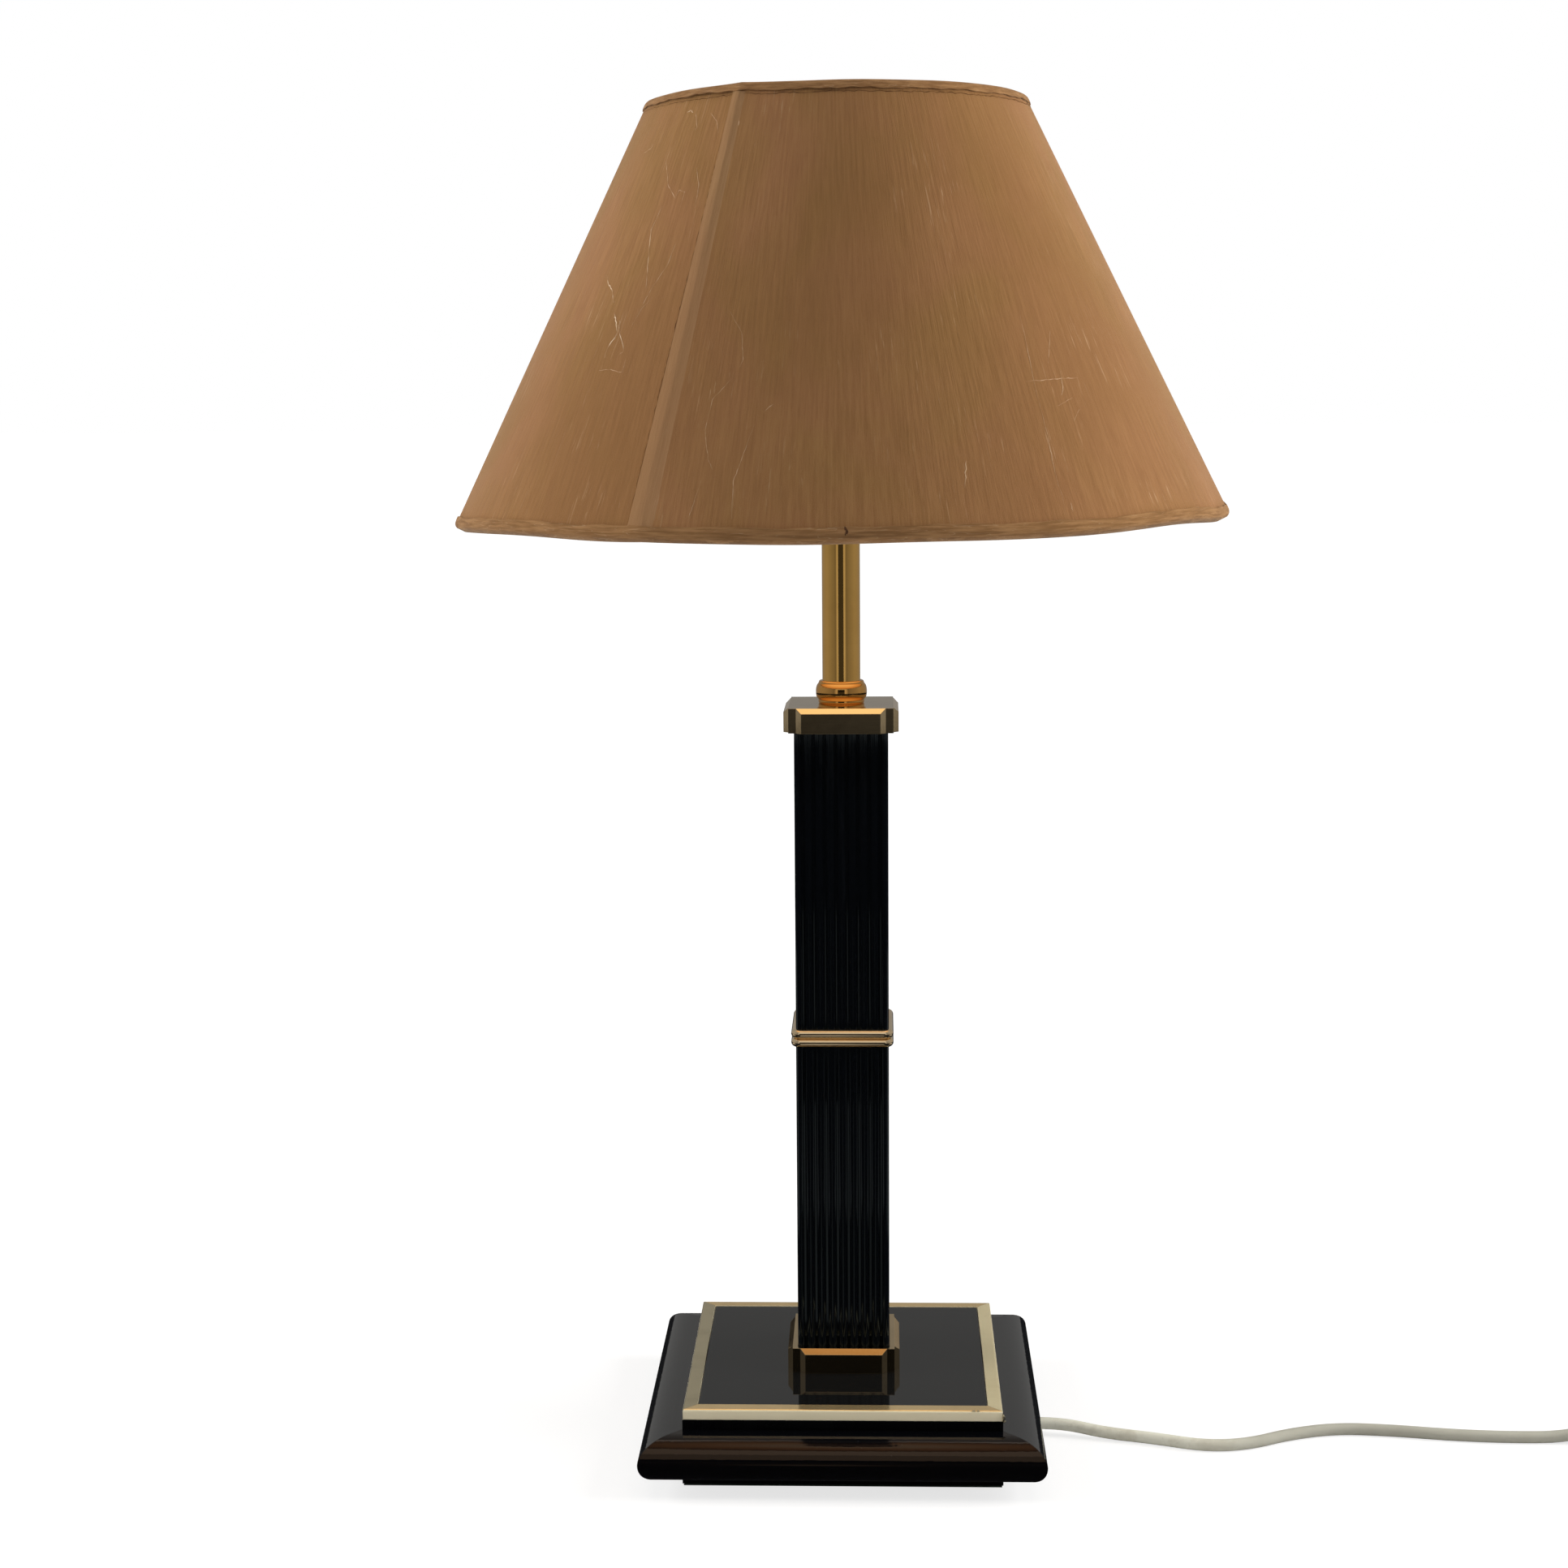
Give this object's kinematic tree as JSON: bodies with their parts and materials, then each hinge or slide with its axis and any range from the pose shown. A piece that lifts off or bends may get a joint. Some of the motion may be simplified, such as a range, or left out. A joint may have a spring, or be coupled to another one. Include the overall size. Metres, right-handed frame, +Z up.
{
  "type": "table lamp",
  "caption": "Table lamp with a reeded square column, a stepped square base framed in brass, a conical card shade and a mains lead with in-line switch and plug.",
  "frame": {"origin": "centre of the base's underside, on the table", "axes": "+Z up along the column, -Y towards the front, +X towards the side where the lead leaves"},
  "size_m": [0.6901, 0.3292, 0.5783],
  "materials": {
    "black_plinth": "black satin lacquer",
    "black_lacquer": "black high-gloss lacquer",
    "frame_brass": "pale polished brass",
    "felt": "dark green felt",
    "cover_board": "brown hardboard",
    "raw_wood": "raw softwood",
    "cast_iron": "rough casting",
    "black_glass": "opaque black, polished",
    "block_brass": "brushed antique brass with bright bevels",
    "column_black": "black gloss enamel",
    "ring_brass": "polished brass",
    "collar_brass": "polished brass",
    "tube_brass": "polished brass, slightly olive",
    "steel": "zinc plated",
    "holder_black": "black moulded",
    "holder_insert": "white unglazed",
    "contact_brass": "bare",
    "bulb_glass": "frosted inside",
    "bulb_cap": "bare",
    "bulb_insulator": "black",
    "shade_card": "tan brown, suede-like painted",
    "shade_lining": "off-white",
    "shade_binding": "tan brown strip",
    "relief_rubber": "matte",
    "cord_sheath": "grey beige, smooth",
    "core_insulation": "smooth",
    "tie_plastic": "smooth",
    "switch_plastic": "fine grained",
    "rocker_plastic": "smooth",
    "plug_plastic": "smooth",
    "pin_metal": "nickel plated"
  },
  "bodies": {
    "lamp": {"ballast_disc": "cast_iron", "base_deck": "black_lacquer", "base_felt": "felt", "base_moulding_back": "black_lacquer", "base_moulding_front": "black_lacquer", "base_moulding_left": "black_lacquer", "base_moulding_right": "black_lacquer", "bottom_cover": "cover_board", "brass_rail_back": "frame_brass", "brass_rail_front": "frame_brass", "brass_rail_left": "frame_brass", "brass_rail_right": "frame_brass", "bulb_cap": "bulb_cap", "bulb_contact": "bulb_insulator", "bulb_glass": "bulb_glass", "capital": "block_brass", "collar": "collar_brass", "cord_coil": "cord_sheath", "cord_link": "cord_sheath", "cord_run": "cord_sheath", "cord_tail": "cord_sheath", "cord_tie": "tie_plastic", "core_wires": "core_insulation", "corner_blocks": "raw_wood", "cover_screws": "steel", "foot_ferrule": "block_brass", "inner_cord": "cord_sheath", "lampholder_cap": "holder_black", "lampholder_contact": "contact_brass", "lampholder_insert": "holder_insert", "lampholder_screw_shell": "contact_brass", "lampholder_skirt": "holder_black", "lower_shaft": "column_black", "mid_ring": "ring_brass", "neck_tube": "tube_brass", "plinth_rail_back": "black_plinth", "plinth_rail_front": "black_plinth", "plinth_rail_left": "black_plinth", "plinth_rail_right": "black_plinth", "plug_body": "plug_plastic", "plug_pins": "pin_metal", "rod_nut": "steel", "rod_washers": "steel", "shade_binding_bottom": "shade_binding", "shade_binding_top": "shade_binding", "shade_liner": "shade_lining", "shade_nut": "holder_black", "shade_seam_lap": "shade_card", "shade_skin": "shade_card", "shade_spider": "steel", "shade_wire_bottom": "steel", "shade_wire_top": "steel", "strain_relief": "relief_rubber", "switch_base": "switch_plastic", "switch_cover": "switch_plastic", "terminal_screws": "contact_brass", "threaded_rod": "steel", "top_plate": "black_glass", "upper_shaft": "column_black"},
    "rocker": {"switch_rocker": "rocker_plastic"}
  },
  "joints": [
    {"name": "rocker_tilt", "type": "hinge", "parent": "lamp", "child": "rocker", "pos_m": [0.377, -0.016, 0.0142], "axis": [0, 1, 0], "range_deg": [0, 20]}
  ]
}
